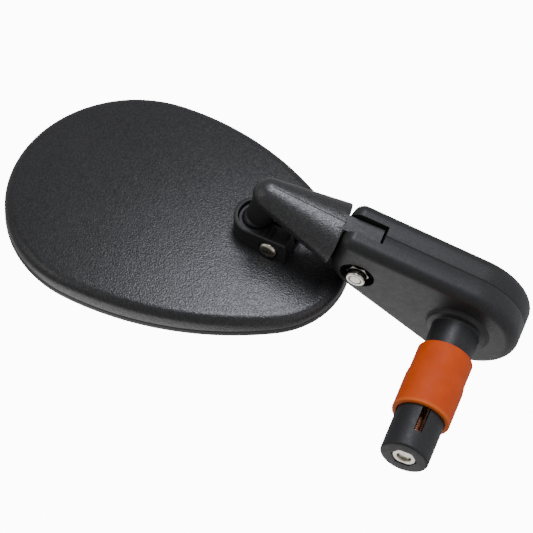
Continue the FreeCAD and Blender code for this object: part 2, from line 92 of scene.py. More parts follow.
# Depths of the recesses for the hinge nut, the hinge bolt's head and the plug bolt's head.
NUT_RECESS, BUTTON_RECESS, CAP_RECESS = 3.9, 2.7, 6.3
# Plug end and the nut in it.
PLUG_X0, PLUG_X1, PLUG_SLOT_END, NUT_POCKET = 24.0, 53.4, 46.5, 4.3

AXIS = 0.01           # smallest radius of a turned outline, just off its axis
WELD = 1e-4           # points closer than this are joined
SMOOTH_ANGLE = 40.0   # faces that meet at less than this are shaded as one, in degrees


# ---- materials ----
NOISE_SPAN = (0.3, 0.7)       # nearly all of a noise texture's values lie between these
MIX_A, MIX_B = 2, 3           # a Mix node's inputs for plain values, whose names repeat
TINT_A, TINT_B, TINT_OUT = 6, 7, 2   # its inputs and its output for colours


def srgb(code):
    parts = [int(code[i:i + 2], 16) / 255 for i in (1, 3, 5)]
    return [c / 12.92 if c <= 0.04045 else ((c + 0.055) / 1.055) ** 2.4 for c in parts] + [1.0]


def per_mm(size_mm):
    """Texture scale that gives features of this size in object space, which is in metres."""
    return 1.0 / (size_mm * MM)


def node(tree, kind, settings=None, **links):
    """Add a node, set its properties and input values, and link its inputs."""
    made = tree.nodes.new(kind)
    for key, value in (settings or {}).items():
        if key in made.inputs:
            made.inputs[key].default_value = value
        else:
            setattr(made, key, value)
    for key, source in links.items():
        tree.links.new(source, made.inputs[key.replace("_", " ")])
    return made


def new_material(name):
    mat = bpy.data.materials.new(name)
    mat.use_nodes = True
    tree = mat.node_tree
    shader = tree.nodes["Principled BSDF"]
    place = node(tree, "ShaderNodeTexCoord").outputs["Object"]
    return mat, tree, shader, place


def two_tone(tree, factor, dark, light):
    """Colour that drifts between two tints with a noise value."""
    ramp = node(tree, "ShaderNodeValToRGB", Fac=factor)
    for stop, position, tint in zip(ramp.color_ramp.elements, NOISE_SPAN, (dark, light)):
        stop.position = position
        stop.color = srgb(tint)
    return ramp.outputs["Color"]


def noise(tree, place, size_mm, detail=4.0, rough=0.5):
    settings = {"Scale": per_mm(size_mm), "Detail": detail, "Roughness": rough}
    return node(tree, "ShaderNodeTexNoise", settings, Vector=place).outputs["Fac"]


def spread(tree, source, low, high):
    """Stretch a noise value, which seldom leaves its middle, over the range from low to high."""
    settings = {"From Min": NOISE_SPAN[0], "From Max": NOISE_SPAN[1], "To Min": low, "To Max": high}
    return node(tree, "ShaderNodeMapRange", settings, Value=source).outputs["Result"]


def raise_grain(tree, shader, height, depth_mm):
    """Bump the surface by a height value, at most this deep."""
    bump = node(tree, "ShaderNodeBump", {"Strength": 1.0, "Distance": depth_mm * MM}, Height=height)
    tree.links.new(bump.outputs["Normal"], shader.inputs["Normal"])


def moulded(name, dark, light, rough, grain_mm, depth_mm, grain_mix=0.6, shine=(0.4, 0.6)):
    """Moulded plastic: soft mottling, uneven gloss, and a pebbled grain with finer grit in it."""
    mat, tree, shader, place = new_material(name)
    cloud = noise(tree, place, 18.0, 3.0)
    tree.links.new(two_tone(tree, cloud, dark, light), shader.inputs["Base Color"])
    gloss = noise(tree, place, 2.2, 5.0, 0.6)
    tree.links.new(spread(tree, gloss, *rough), shader.inputs["Roughness"])
    cells = {"Scale": per_mm(grain_mm), "feature": "SMOOTH_F1", "Smoothness": 0.6}
    pebble = node(tree, "ShaderNodeTexVoronoi", cells, Vector=place).outputs["Distance"]
    grit = noise(tree, place, grain_mm * 0.6, 3.0, 0.7)
    mixed = node(tree, "ShaderNodeMix", {"data_type": "FLOAT", "Factor": grain_mix})
    tree.links.new(grit, mixed.inputs[MIX_A])
    tree.links.new(pebble, mixed.inputs[MIX_B])
    raise_grain(tree, shader, mixed.outputs[0], depth_mm)
    glint = noise(tree, place, 0.7, 2.0, 0.6)
    tree.links.new(spread(tree, glint, *shine), shader.inputs["Specular IOR Level"])
    return mat


def plated(name, dark, light, rough):
    """Bright plated steel: clean reflections, a little mottled and very finely uneven."""
    mat, tree, shader, place = new_material(name)
    shader.inputs["Metallic"].default_value = 1.0
    cloud = noise(tree, place, 1.6, 4.0, 0.6)
    tree.links.new(two_tone(tree, cloud, dark, light), shader.inputs["Base Color"])
    tree.links.new(spread(tree, noise(tree, place, 0.7, 4.0), *rough), shader.inputs["Roughness"])
    raise_grain(tree, shader, noise(tree, place, 0.5, 5.0, 0.7), 0.006)
    return mat


def orange_rubber():
    """Matt orange rubber with little shine, paler towards the rim that leads into the bar."""
    mat, tree, shader, place = new_material("orange_rubber_matt")
    along = node(tree, "ShaderNodeSeparateXYZ", Vector=place).outputs["X"]
    fade = {"From Min": 5.2 * MM, "From Max": 6.6 * MM, "To Min": 0.0, "To Max": 0.8}
    rim = node(tree, "ShaderNodeMapRange", fade, Value=along).outputs["Result"]
    cloud = noise(tree, place, 6.0, 4.0, 0.6)
    worn = node(tree, "ShaderNodeMix", {"data_type": "RGBA", "blend_type": "MIX"}, Factor=rim)
    tree.links.new(two_tone(tree, cloud, "#B43E06", "#C0460A"), worn.inputs[TINT_A])
    worn.inputs[TINT_B].default_value = srgb("#CC6224")
    tree.links.new(worn.outputs[TINT_OUT], shader.inputs["Base Color"])
    tree.links.new(spread(tree, noise(tree, place, 1.5, 5.0), 0.55, 0.72), shader.inputs["Roughness"])
    raise_grain(tree, shader, noise(tree, place, 0.45, 4.0, 0.7), 0.03)
    shader.inputs["Specular IOR Level"].default_value = 0.2
    return mat


def mirror_glass_material():
    """Silvered glass: near-perfect reflection with the faintest uneven polish and haze."""
    mat, tree, shader, place = new_material("silvered_convex_glass")
    shader.inputs["Metallic"].default_value = 1.0
    cloud = noise(tree, place, 30.0, 3.0)
    tree.links.new(two_tone(tree, cloud, "#D6DADC", "#DCE0E2"), shader.inputs["Base Color"])
    tree.links.new(spread(tree, noise(tree, place, 7.0, 5.0, 0.6), 0.02, 0.06), shader.inputs["Roughness"])
    shader.inputs["Coat Weight"].default_value = 1.0
    shader.inputs["Coat Roughness"].default_value = 0.02
    return mat


# Black nylon of the shell: dark and satin, with a leather-like grain that sparkles where light skims it.
SHELL = moulded("black_nylon_leather_grain", "#19191A", "#1D1D1F", rough=(0.28, 0.36),
                grain_mm=0.55, depth_mm=0.10, shine=(0.32, 0.74))
# The same nylon on the link arm, with a finer grain and brighter glints.
ARM = moulded("black_nylon_fine_grain", "#1C1C1D", "#202022", rough=(0.30, 0.38),
              grain_mm=0.50, depth_mm=0.09, shine=(0.40, 0.95))
# Base arm: a smoother moulded face with a tight, shallow grain.
BASE = moulded("black_nylon_satin_moulded", "#1A1A1B", "#1F1F20", rough=(0.40, 0.50),
               grain_mm=0.40, depth_mm=0.035, grain_mix=0.4, shine=(0.30, 0.42))
# Collar, post and bezel: the smoothest of the black mouldings.
SMOOTH = moulded("black_nylon_smooth", "#191919", "#1E1E1F", rough=(0.36, 0.46),
                 grain_mm=0.35, depth_mm=0.014, grain_mix=0.3)
# Plug end: black plastic that is duller than the collar's.
PLUG_BLACK = moulded("black_plug_plastic_scuffed", "#18181A", "#1F1F20", rough=(0.46, 0.58),
                     grain_mm=0.45, depth_mm=0.02, grain_mix=0.3, shine=(0.30, 0.42))
# Thin closed-cell foam behind the glass.
FOAM = moulded("dark_grey_cell_foam", "#3A3A3A", "#484848", rough=(0.85, 0.95),
               grain_mm=0.5, depth_mm=0.2, grain_mix=0.8)
# Ball liner and hinge washers: dull black acetal.
LINER = moulded("dull_black_acetal", "#232323", "#2A2A2A", rough=(0.5, 0.6),
                grain_mm=0.3, depth_mm=0.01, grain_mix=0.3)
# White nylon locking ring of the hinge nut.
INSERT = moulded("white_nylon_ring", "#C9C9C0", "#D6D6CE", rough=(0.45, 0.55),
                 grain_mm=0.3, depth_mm=0.01, grain_mix=0.3)
NICKEL = plated("bright_nickel_plate", "#B9B4A8", "#D8D5CC", (0.14, 0.26))
SCREW = plated("zinc_plated_screw", "#A8A294", "#D5CFBF", (0.16, 0.32))
# Rolled thread seen through the plug's slots: duller plating, tinted warmer and paler as a painted
# reflection of the orange sleeve and painted light in the slots' shade.
THREAD_PAINTED_REFLECTION = plated("zinc_thread_painted_orange_reflection", "#B98468", "#DDB49C", (0.32, 0.45))
SLEEVE = orange_rubber()
MIRROR = mirror_glass_material()


# ---- mesh helpers ----
def to_object(name, bm, place, material, body, stands_for=None):
    """Place a mesh drawn in mm, give it its finish, and let it ride on its body."""
    bmesh.ops.remove_doubles(bm, verts=bm.verts, dist=WELD)
    bm.transform(place)
    bmesh.ops.recalc_face_normals(bm, faces=bm.faces)
    mesh = bpy.data.meshes.new(name)
    bm.to_mesh(mesh)
    bm.free()
    obj = bpy.data.objects.new(name, mesh)
    bpy.context.scene.collection.objects.link(obj)
    mesh.materials.append(material)
    shade(mesh, SMOOTH_ANGLE)
    if body:
        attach(obj, body)
    if stands_for:
        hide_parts(stands_for)
    return obj


def shade(mesh, angle):
    mesh.shade_smooth()
    mesh.set_sharp_from_angle(angle=math.radians(angle))


def round_corners(points, radii, steps=6):
    """Closed outline of (x, y) points with each corner turned into an arc of its own radius."""
    out = []
    count = len(points)
    for i, (point, radius) in enumerate(zip(points, radii)):
        p = Vector(point)
        if radius <= 0:
            out.append(p)
            continue
        a = (Vector(points[i - 1]) - p).normalized()
        b = (Vector(points[(i + 1) % count]) - p).normalized()
        half = a.angle(b) / 2
        back = radius / math.tan(half)
        centre = p + (a + b).normalized() * (radius / math.sin(half))
        start, end = p + a * back - centre, p + b * back - centre
        swing = start.angle_signed(end)
        for k in range(steps + 1):
            turned = start.copy()
            turned.rotate(Matrix.Rotation(-swing * k / steps, 2))
            out.append(centre + turned)
    return out


def lathe(outline, steps=96):
    """Closed outline of (radius, height) turned about Z."""
    bm = bmesh.new()
    verts = [bm.verts.new((r, 0, h)) for r, h in outline]
    edges = [bm.edges.new((verts[i - 1], verts[i])) for i in range(len(verts))]
    bmesh.ops.spin(bm, geom=verts + edges, cent=(0, 0, 0), axis=(0, 0, 1), angle=math.tau,
                   steps=steps, use_merge=True)
    bmesh.ops.remove_doubles(bm, verts=bm.verts, dist=WELD)
    loose = [e for e in bm.edges if not e.link_faces]
    bmesh.ops.delete(bm, geom=loose, context="EDGES")
    return bm


def turned(points, radii, steps=96):
    return lathe(round_corners(points, radii), steps)


def loft(rings, closed=False):
    """Skin through rings of equal length, capped at its ends unless it closes on itself."""
    bm = bmesh.new()
    rows = [[bm.verts.new(p) for p in ring] for ring in rings]
    pairs = list(zip(rows, rows[1:])) + ([(rows[-1], rows[0])] if closed else [])
    for one, two in pairs:
        for i in range(len(one)):
            bm.faces.new((one[i - 1], one[i], two[i], two[i - 1]))
    if not closed:
        bm.faces.new(rows[0])
        bm.faces.new(rows[-1])
    return bm


def prism(outline, z0, z1):
    return loft([[Vector((p[0], p[1], z)) for p in outline] for z in (z0, z1)])


def ellipse(x, y, z, half_x, half_y, steps=96):
    """Level ring of points round (x, y, z)."""
    angles = [math.tau * k / steps for k in range(steps)]
    return [Vector((x + half_x * math.cos(t), y + half_y * math.sin(t), z)) for t in angles]


def block(low, high):
    bm = bmesh.new()
    bmesh.ops.create_cube(bm, size=1.0)
    size = [b - a for a, b in zip(low, high)]
    mid = [(a + b) / 2 for a, b in zip(low, high)]
    bm.transform(Matrix.Translation(mid) @ Matrix.Diagonal((*size, 1.0)))
    return bm


def rod(radius, z0, z1, steps=64):
    bm = bmesh.new()
    bmesh.ops.create_cone(bm, cap_ends=True, segments=steps, radius1=radius, radius2=radius, depth=z1 - z0)
    bm.transform(Matrix.Translation((0, 0, (z0 + z1) / 2)))
    return bm


def hexagon(across_flats, turn=0.0):
    """Corners of a hexagon round Z, turned by this many degrees."""
    r = across_flats / math.sqrt(3)
    angles = [math.radians(60 * k + turn) for k in range(6)]
    return [(r * math.cos(a), r * math.sin(a)) for a in angles]


def carve(obj, cutters, operation="DIFFERENCE", smooth=SMOOTH_ANGLE):
    """Cut shapes, given as (bmesh, place), out of a finished piece, or join or intersect them with it."""
    for bm, place in cutters:
        mesh = bpy.data.meshes.new("cutter")
        bm.transform(place)
        bmesh.ops.recalc_face_normals(bm, faces=bm.faces)
        bm.to_mesh(mesh)
        bm.free()
        tool = bpy.data.objects.new("cutter", mesh)
        bpy.context.scene.collection.objects.link(tool)
        cut = obj.modifiers.new("cut", "BOOLEAN")
        cut.operation = operation
        cut.solver = "EXACT"
        cut.object = tool
        bpy.context.view_layer.update()
        graph = bpy.context.evaluated_depsgraph_get()
        result = bpy.data.meshes.new_from_object(obj.evaluated_get(graph))
        obj.modifiers.remove(cut)
        old = obj.data
        obj.data = result
        result.name = old.name + "_cut"
        bpy.data.meshes.remove(old)
        bpy.data.objects.remove(tool)
        bpy.data.meshes.remove(mesh)
    shade(obj.data, smooth)


def soften(obj, width_mm, angle=35.0, segments=3):
    """Small moulded or machined rounding on every sharp edge."""
    bevel = obj.modifiers.new("edge_rounding", "BEVEL")
    bevel.width = width_mm * MM
    bevel.segments = segments
    bevel.limit_method = "ANGLE"
    bevel.angle_limit = math.radians(angle)
    bevel.harden_normals = True
    bevel.use_clamp_overlap = True


# ---- mirror head ----
def egg(inset):
    """Outline points of the head, drawn in by inset, always in the same number and order."""
    r1, r2, r3 = EGG_BIG_R - inset, EGG_SMALL_R - inset, EGG_SIDE_R - inset
    near, far = r3 - r1, r3 - r2
    cx = (near ** 2 - far ** 2 + EGG_SPAN ** 2) / (2 * EGG_SPAN)
    cy = math.sqrt(near ** 2 - cx ** 2)
    a1 = math.atan2(cy, -cx)
    a2 = math.atan2(cy, EGG_SPAN - cx)
    arcs = [
        ((0, 0), r1, a1, math.tau - a1, 64),
        ((cx, cy), r3, -a1, -a2, 40),
        ((EGG_SPAN, 0), r2, -a2, a2, 52),
        ((cx, -cy), r3, a2, a1, 40),
    ]
    points = []
    for (x, y), r, start, end, count in arcs:
        for k in range(count):
            a = start + (end - start) * k / count
            points.append(Vector((EGG_X + x + r * math.cos(a), EGG_Y + y + r * math.sin(a))))
    return points


def crown(p, drop=0.0):
    """Height of the domed back at a point, or of a surface that lies lower by drop."""
    d2 = (p.x - CROWN_X) ** 2 + (p.y - EGG_Y) ** 2
    return CROWN_TOP - drop - (CROWN_R - math.sqrt(CROWN_R ** 2 - d2))


def glass_z(p, depth):
    """Height of the glass at a point, at a depth behind its front face."""
    d2 = (p.x - CROWN_X) ** 2 + (p.y - EGG_Y) ** 2
    return GLASS_FRONT + depth + d2 / (2 * GLASS_R)


def flat_rings(*steps):
    """Level outlines of the head, each given as (inset, z)."""
    return [[Vector((p.x, p.y, z)) for p in egg(inset)] for inset, z in steps]


def glass_ring(inset, depth):
    """Inset outline of the head that follows the glass's curve."""
    return [Vector((p.x, p.y, glass_z(p, depth))) for p in egg(inset)]


def shrinking_rings(inset, height, shares):
    """Rings that close a surface from an inset outline towards the middle of the head."""
    middle = Vector((CROWN_X, EGG_Y))
    rings = []
    for share in shares:
        ring = [middle + (p - middle) * share for p in egg(inset)]
        rings.append([Vector((p.x, p.y, height(p))) for p in ring])
    return rings


def rounded_edge_rings(radius, steps=10):
    """The band where the side wall turns over into the domed back."""
    outline = egg(0.0)
    count = len(outline)
    rings = [[] for _ in range(steps + 1)]
    for i, p in enumerate(outline):
        along = outline[(i + 1) % count] - outline[i - 1]
        out = Vector((along.y, -along.x)).normalized()
        slope = (p - Vector((CROWN_X, EGG_Y))).dot(out) / CROWN_R
        last = math.pi / 2 - math.atan(slope)
        end = p - out * radius * (1 - math.cos(last))
        base = crown(end) - radius * math.sin(last)
        for k in range(steps + 1):
            a = last * k / steps
            q = p - out * radius * (1 - math.cos(a))
            rings[k].append(Vector((q.x, q.y, base + radius * math.sin(a))))
    return rings


def socket_cutter():
    return rod(SOCKET_R, SOCKET_FLOOR, SOCKET_TOP, 96), HEAD


def build_shell():
    shares = [1 - 0.07 * k for k in range(14)] + [0.04]
    rings = shrinking_rings(7.0, lambda p: crown(p, SHELL_THICK), shares)[::-1]
    rings += flat_rings((2.6, -9.6), (2.4, -10.5), (1.2, -10.5), (1.2, SEAM_Z))
    rings += flat_rings((0.35, SEAM_Z), (0.1, SEAM_Z + 0.08), (0.0, SEAM_Z + 0.35))
    rings += rounded_edge_rings(HEAD_EDGE_R)
    rings += shrinking_rings(HEAD_EDGE_R, crown, shares)
    dish = to_object("shell_back", loft(rings), HEAD, SHELL, "head", "mirror_shell")
    carve(dish, [socket_cutter()])


def build_clamp():
    """Split collar with its two ears, the ridges on its top, and the floor of the socket."""
    half_turn = [math.radians(90 + 180 * k / 48) for k in range(49)]
    ring = [Vector((COLLAR_R * math.cos(a), COLLAR_R * math.sin(a))) for a in half_turn]
    ends = round_corners([(0, -COLLAR_R), (EAR_END, -COLLAR_R), (EAR_END, COLLAR_R), (0, COLLAR_R)],
                         [0, 0.7, 0.7, 0])
    outline = ends[1:-1] + ring
    edge_r = 0.7
    base = COLLAR_TOP - edge_r
    rings = [[Vector((p.x, p.y, z)) for p in outline] for z in (-6.4, base)]
    middle = Vector((4.0, 0))
    for k in range(1, 6):
        a = math.radians(18 * k)
        drawn = [p - (p - middle).normalized() * edge_r * (1 - math.cos(a)) for p in outline]
        rings.append([Vector((p.x, p.y, base + edge_r * math.sin(a))) for p in drawn])
    collar = to_object("clamp_collar", loft(rings), HEAD, SMOOTH, "head", None)
    across = HEAD @ Matrix.Translation((CLAMP_X, 0, CLAMP_Z)) @ Matrix.Rotation(math.radians(-90), 4, "X")
    split = block((0, -1.1, -4.0), (EAR_END + 2, 1.1, SOCKET_TOP))
    screw_hole, head_seat = rod(1.6, -12, 12, 32), rod(3.5, -12, -6.2, 48)
    nut_pocket = prism(hexagon(5.6, 30), 5.6, 12)
    cutters = [socket_cutter(), (split, HEAD)]
    cutters += [(screw_hole, across), (head_seat, across), (nut_pocket, across)]
    for k in range(3):
        x = 4.4 + 1.9 * k
        cutters.append((block((x, -7.4, COLLAR_TOP - 0.35), (x + 0.7, -2.6, COLLAR_TOP + 1)), HEAD))
    carve(collar, cutters)
    soften(collar, 0.14)
    floor_r, floor_z = SOCKET_R + 0.02, SOCKET_FLOOR - 0.02
    foot = turned([(AXIS, -8.6), (COLLAR_R, -8.6), (COLLAR_R, -5.6), (floor_r, -5.6), (floor_r, floor_z),
                   (AXIS, floor_z)], [0, 0.4, 0, 0, 0, 0])
    to_object("socket_floor", foot, HEAD, SMOOTH, "head", None)


def build_bezel():
    """Ring round the glass, with a rounded front edge of radius lip_r."""
    lip_r = 1.2
    rings = flat_rings((1.3, SEAM_Z), (0.3, SEAM_Z), (0.08, SEAM_Z - 0.08), (0.0, SEAM_Z - 0.3))
    for k in range(9):
        a = math.radians(11.25 * k)
        rings += flat_rings((lip_r * (1 - math.cos(a)), FRONT_Z + lip_r - lip_r * math.sin(a)))
    rings += flat_rings((3.05, FRONT_Z), (3.3, FRONT_Z + 0.06))
    rings += [glass_ring(3.4, -0.04), glass_ring(2.5, -0.04)]
    rings += flat_rings((2.5, -10.6), (1.3, -10.6))
    bezel = loft(rings, closed=True)
    to_object("bezel_ring", bezel, HEAD, SMOOTH, "head", "front_bezel")


def build_glass():
    shares = [1 - 0.08 * k for k in range(12)] + [0.04]
    rings = shrinking_rings(2.9, lambda p: glass_z(p, 0.0), shares)[::-1]
    rings += [glass_ring(2.65, 0.25), glass_ring(2.65, GLASS_THICK - 0.25)]
    rings += shrinking_rings(2.9, lambda p: glass_z(p, GLASS_THICK), shares)
    to_object("convex_mirror", loft(rings), HEAD, MIRROR, "head", "mirror_glass")


def build_clamp_screw():
    """Pan head with a cross recess, 1.1 mm rounded at its top, and a thread through both ears."""
    across = HEAD @ Matrix.Translation((CLAMP_X, -6.7, CLAMP_Z)) @ Matrix.Rotation(math.radians(90), 4, "X")
    head = turned([(AXIS, 0), (3.2, 0), (3.2, 2.2), (AXIS, 2.2)], [0, 0.15, 1.1, 0])
    screw = to_object("clamp_screw_head", head, across, SCREW, "head", "clamp_screw")
    cross = []
    for turn in (20, 110):
        arm = block((-1.55, -0.42, 0.9), (1.55, 0.42, 3.0))
        cross.append((arm, across @ Matrix.Rotation(math.radians(turn), 4, "Z")))
    carve(screw, cross, smooth=30)
    soften(screw, 0.08, segments=2)
    thread = thread_rod(1.5, 0.5, -14.9, 0.2)
    to_object("clamp_screw_thread", thread, across, SCREW, "head", None)


def thread_rod(radius, pitch, z0, z1, segments=40):
    """Rolled thread: a V-ridged helix round a core, with plain closed ends."""
    core = radius - 0.58 * pitch
    turns = int((z1 - z0) / pitch) - 1
    bm = rod(core, z0, z1, segments)
    helix = bmesh.new()
    low = z0 + pitch * 0.3
    ridge = [(core - 0.02, low), (core - 0.02, low + pitch * 0.92),
             (radius, low + pitch * 0.56), (radius, low + pitch * 0.40)]
    verts = [helix.verts.new((r, 0, h)) for r, h in ridge]
    face = helix.faces.new(verts)
    bmesh.ops.spin(helix, geom=[face] + list(face.edges) + verts, cent=(0, 0, 0), axis=(0, 0, 1),
                   angle=math.tau * turns, dvec=(0, 0, pitch / segments), steps=segments * turns,
                   use_merge=False)
    mesh = bpy.data.meshes.new("thread")
    helix.to_mesh(mesh)
    helix.free()
    bm.from_mesh(mesh)
    bpy.data.meshes.remove(mesh)
    return bm


# ---- ball stud and link arm ----
def build_stud():
    """Ball, necked post with a slightly wider foot, and the peg that holds it in the elbow."""
    neck = 3.6
    outline = []
    for k in range(25):
        a = math.radians(-90 + 5.6 * k)
        r, h = BALL_R * math.cos(a), BALL_R * math.sin(a)
        if r < neck and h > 0:
            break
        outline.append((max(r, AXIS), h))
    post = [(neck, 4.29), (neck, POST_RIM), (POST_SKIRT_R, POST_RIM), (POST_R, 11.6), (POST_R, POST_TOP),
            (PEG_R, POST_TOP), (PEG_R, PEG_TOP), (AXIS, PEG_TOP)]
    outline += [(p.x, p.y) for p in round_corners(post, [0, 0, 0.8, 0, 0.15, 0, 0.3, 0])]
    to_object("ball_and_post", lathe(outline), STUD, SMOOTH, "stud", "ball_stud")


def link_section(share, grow=0.0):
    """Level section of the link arm, from its shoulder (0) to its elbow (1)."""
    x = PARTING_X + (ELBOW.x - PARTING_X) * share
    y = SHOULDER_Y + (ELBOW.y - SHOULDER_Y) * share
    z = SHOULDER_Z + (ELBOW.z - SHOULDER_Z) * share
    half_x = SHOULDER_HALF_X + (ELBOW_R - SHOULDER_HALF_X) * share + grow
    half_y = SHOULDER_HALF_Y + (ELBOW_R - SHOULDER_HALF_Y) * share + grow
    return ellipse(x, y, z, half_x, half_y)


def build_link():
    """Tapering arm with a domed elbow, a hole for the post, and a raised parting line down its front."""
    rounded_foot = ((0.0, -0.6), (0.004, -0.25), (0.012, -0.07), (0.024, 0.0))
    rings = [link_section(share, grow) for share, grow in rounded_foot]
    rings += [link_section(k / 20) for k in range(1, 19)]
    for k in range(12):
        a = math.radians(4 + 7.6 * k)
        r, z = ELBOW_R * math.cos(a), ELBOW.z + ELBOW_R * math.sin(a)
        rings.append(ellipse(ELBOW.x, ELBOW.y, z, r, r))
    arm = to_object("link_arm_body", loft(rings), ROW, ARM, "link", "link_arm")
    gap = 0.05
    carve(arm, [(rod(POST_R + gap, -6, POST_TOP + gap, 96), STUD), (rod(PEG_R + gap, 10, 22.1, 64), STUD)])
    soften(arm, 0.2, 50.0)
    low = Vector((PARTING_X, 14.37, SHOULDER_Z + 0.3))
    high = Vector((ELBOW.x, ELBOW.y + ELBOW_R - 0.02, ELBOW.z))
    along = ROW @ Matrix.Translation(low) @ (high - low).to_track_quat("Z", "Y").to_matrix().to_4x4()
    bead = rod(0.16, 0, (high - low).length, 12)
    to_object("link_parting_line", bead, along, ARM, "link", None)
    build_tongue(PARTING_X - TONGUE_HALF, PARTING_X + TONGUE_HALF)


def build_tongue(x0, x1):
    """Flat tongue round the fold axis; its front edge runs on up the arm as a low ridge."""
    upright = Matrix(((0, 0, 1, 0), (1, 0, 0, 0), (0, 1, 0, 0), (0, 0, 0, 1)))   # (y, z, x) to (x, y, z)
    place = ROW @ upright
    angles = [math.radians(a) for a in range(0, 360, 5)]
    circle = [(PIVOT_Y + TONGUE_R * math.cos(a), PIVOT_Z + TONGUE_R * math.sin(a)) for a in angles]
    tongue = to_object("link_tongue", prism(circle, x0, x1), place, BASE, "link", None)
    back, front, top = PIVOT_Y - TONGUE_R, PIVOT_Y + TONGUE_R, 51.0
    upper = [(back, PIVOT_Z), (front, PIVOT_Z), (front, top), (back, top)]
    ridge = [(PIVOT_Y, 37.1), (16.0, 37.1), (14.3, 50.0), (12.0, 60.0), (PIVOT_Y, 60.0)]
    carve(tongue, [(prism(upper, x0, x1), place), (prism(ridge, x0, x1), place)], "UNION")
    carve(tongue, [(rod(2.06, -20, 10, 48), PIVOT)])
    soften(tongue, 0.3)


# ---- base arm ----
def arm_outline(inset):
    """Outline pulled tight round the arm's end circles, as (y, z) points, always the same number."""
    count = len(ARM_ENDS)
    leaving = []
    for k in range(count):
        (ya, za, ra), (yb, zb, rb) = ARM_ENDS[k], ARM_ENDS[(k + 1) % count]
        leaving.append(math.atan2(zb - za, yb - ya) - math.acos((ra - rb) / math.hypot(yb - ya, zb - za)))
    points = []
    for k, (y, z, radius) in enumerate(ARM_ENDS):
        r = max(radius - inset, 0.02)
        swing = (leaving[k] - leaving[k - 1]) % math.tau
        for j in range(37):
            a = leaving[k - 1] + swing * j / 36
            points.append((y + r * math.cos(a), z + r * math.sin(a)))
    return points


def arm_ring(x, inset):
    return [Vector((x, y, z)) for y, z in arm_outline(inset)]


def arm_half(name, face_x, stands_for):
    """One half of the base arm, from the parting line to its flat face with a rounded edge."""
    side = 1 if face_x > PARTING_X else -1
    rings = [arm_ring(PARTING_X + side * out, inset) for out, inset in ((0, 0.2), (0.06, 0.07), (0.2, 0.0))]
    for k in range(11):
        a = math.radians(9 * k)
        rim_x = face_x - side * ARM_EDGE_R * (1 - math.sin(a))
        rings.append(arm_ring(rim_x, ARM_EDGE_R * (1 - math.cos(a))))
    return to_object(name, loft(rings), ROW, BASE, "base", stands_for)


def hinge_slot_cutters():
    """Slot for the link's tongue: round at the fold axis, and open at the front, the back and the top."""
    x0, x1 = PARTING_X - SLOT_HALF, PARTING_X + SLOT_HALF
    return [
        (rod(SLOT_R, x0, x1, 72), PIVOT),
        (block((x0, PIVOT_Y, SLOT_FLOOR_Z), (x1, 40, 60)), ROW),
        (block((x0, -40, PIVOT_Z - 5.0), (x1, PIVOT_Y, 60)), ROW),
    ]


def build_base():
    inner = arm_half("base_arm_near_half", 0.0, "base_arm_inner")
    recess = turned([(AXIS, -NUT_RECESS), (6.0, -NUT_RECESS), (6.0, 0.0), (9.0, 3.0), (AXIS, 3.0)],
                    [0, 0.4, 1.2, 0, 0])
    carve(inner, hinge_slot_cutters() + [
        (recess, PIVOT),
        (rod(HINGE_HOLE_R, -12, 1, 32), PIVOT),
        (rod(PLUG_HOLE_R, -12, 1, 48), PLUG),
    ])
    soften(inner, 0.2, 40.0)
    outer = arm_half("base_arm_far_half", ARM_BACK_X, "base_arm_outer")
    carve(outer, hinge_slot_cutters() + [
        (rod(4.4, ARM_BACK_X - 1, ARM_BACK_X + BUTTON_RECESS), PIVOT),
        (rod(HINGE_HOLE_R, ARM_BACK_X, PARTING_X + 1, 32), PIVOT),
        (rod(5.2, ARM_BACK_X - 1, ARM_BACK_X + CAP_RECESS), PLUG),
        (rod(PLUG_HOLE_R, ARM_BACK_X, PARTING_X + 1, 48), PLUG),
    ])
    soften(outer, 0.2, 40.0)
    post = turned(
        [(PLUG_HOLE_R, -1.0), (12.2, -0.5), (10.8, 0.45), (10.3, 1.2), (8.4, 1.6), (8.4, 19.5), (7.3, 19.5),
         (7.3, 20.0), (4.0, 31.0), (PLUG_HOLE_R, 31.0)],
        [0, 0, 0.6, 0.5, 0.5, 0.3, 0.2, 0.2, 0.3, 0])
    to_object("plug_post", post, PLUG, BASE, "base", None)


# ---- hinge hardware ----
def hex_nut(name, across, z0, z1, turn, place, body, stands_for, bore):
    """Hexagon nut whose corners are chamfered at z1, the end that shows."""
    blank = prism(hexagon(across, turn), z0, z1)
    nut = to_object(name, blank, place, NICKEL, body, stands_for)
    flat, slope = across / 2 * 0.97, across * 0.6
    chamfer = [(AXIS, z0 - 1), (flat + slope, z0 - 1), (flat + slope, z1 - slope * 0.58), (flat, z1),
               (AXIS, z1)]
    carve(nut, [(lathe(chamfer), place)], "INTERSECT", 25)
    carve(nut, [(rod(bore, z0 - 1, z1 + 1, 48), place)], smooth=25)
    soften(nut, 0.12, 28.0, 2)


def build_pivot_hardware():
    hex_nut("hinge_nut_hexagon", 7.0, -NUT_RECESS, -0.4, 12, PIVOT, "base", "pivot_nut", 2.05)
    collar = turned([(2.62, -0.8), (3.45, -0.8), (3.45, 2.0), (2.25, 2.0), (2.25, 1.4), (2.62, 1.4)],
                    [0, 0, 0.5, 0.1, 0, 0])
    to_object("hinge_nut_collar", collar, PIVOT, NICKEL, "base", None)
    seat = ARM_BACK_X + BUTTON_RECESS
    button = turned([(AXIS, seat - 2.3), (3.9, seat - 2.3), (3.9, seat), (AXIS, seat)], [0, 1.7, 0.2, 0])
    head = to_object("hinge_bolt_head", button, PIVOT, NICKEL, "base", "pivot_bolt")
    carve(head, [(prism(hexagon(2.5), seat - 3, seat - 0.8), PIVOT)])
    soften(head, 0.08, segments=2)
    shank = turned([(AXIS, seat - 0.2), (1.98, seat - 0.2), (1.98, 1.95), (AXIS, 1.95)], [0, 0, 0.2, 0])
    to_object("hinge_bolt_shank", shank, PIVOT, NICKEL, "base", None)


